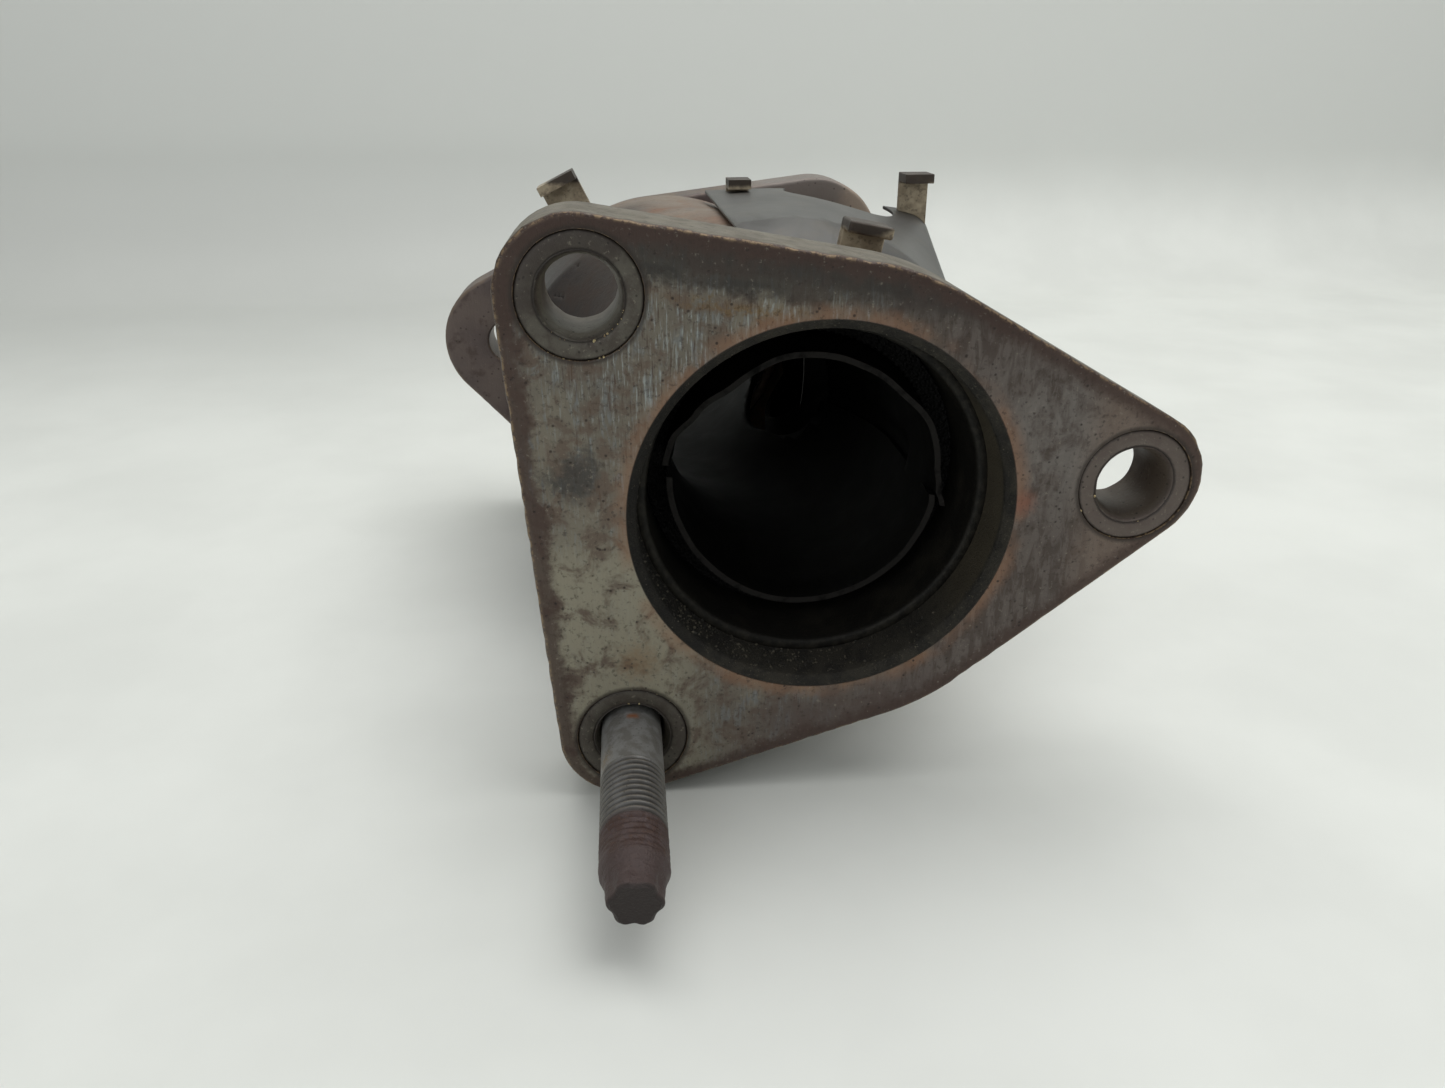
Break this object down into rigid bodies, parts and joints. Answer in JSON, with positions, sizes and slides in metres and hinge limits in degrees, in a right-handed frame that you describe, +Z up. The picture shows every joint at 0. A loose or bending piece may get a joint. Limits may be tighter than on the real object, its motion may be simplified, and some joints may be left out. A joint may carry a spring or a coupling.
{
  "type": "exhaust tee fitting",
  "caption": "Double-walled exhaust tee with a thick triangular front flange, an offset run, a rear flange and a flanged branch that turns down.",
  "frame": {"origin": "centre of the front bore, on the front flange's gasket face", "axes": "+Y runs back along the front bore, away from the gasket face; +X is to the right seen from the front; +Z is up, and the branch port faces down"},
  "size_m": [0.135, 0.1797, 0.0945],
  "materials": {
    "flange_steel": "ground flat, heat tinted, pitted",
    "bush_steel": "turned, sooty",
    "rear_steel": "heat tinted mauve-brown",
    "collar_steel": "soot black",
    "liner_steel": "olive-black soot over rolled sheet",
    "shell_steel": "heat tinted tan-orange sheet",
    "weld_metal": "rippled weld bead",
    "wire_mesh": "knitted wire",
    "stud_steel": "rolled thread, rusty brown end",
    "nut_steel": "forged and machined",
    "shield_sheet": "smooth dull grey sheet",
    "bracket_steel": "olive-tan strip with dark edges"
  },
  "bodies": {
    "root": {"front_flange": "flange_steel", "bolt_hole_bushes": "bush_steel", "rear_flange": "rear_steel", "branch_flange": "rear_steel", "front_collar": "collar_steel", "rear_collar": "collar_steel", "branch_collar": "collar_steel", "front_flange_weld": "weld_metal", "rear_flange_weld": "weld_metal", "branch_flange_weld": "weld_metal", "front_neck_weld": "weld_metal", "rear_neck_weld": "weld_metal", "branch_neck_weld": "weld_metal", "front_mesh_ring": "wire_mesh", "rear_mesh_ring": "wire_mesh", "branch_mesh_ring": "wire_mesh", "outer_shell_upper": "shell_steel", "outer_shell_lower": "shell_steel", "flange_stud": "stud_steel", "stud_lock_nut": "nut_steel", "branch_heat_shield": "shield_sheet", "shield_bracket_left": "bracket_steel", "shield_bracket_middle": "bracket_steel", "shield_bracket_front": "bracket_steel", "shield_bracket_rear": "bracket_steel"},
    "run_liner": {"liner_upper": "liner_steel", "liner_lower": "liner_steel"},
    "branch_sleeve": {"branch_liner": "liner_steel"}
  },
  "joints": [
    {"name": "run_liner_slide", "type": "slide", "parent": "root", "child": "run_liner", "axis": [0, 1, 0], "range_m": [-0.001, 0.001]},
    {"name": "branch_liner_slide", "type": "slide", "parent": "root", "child": "branch_sleeve", "axis": [0, 0, 1], "range_m": [-0.0008, 0.0008]}
  ]
}
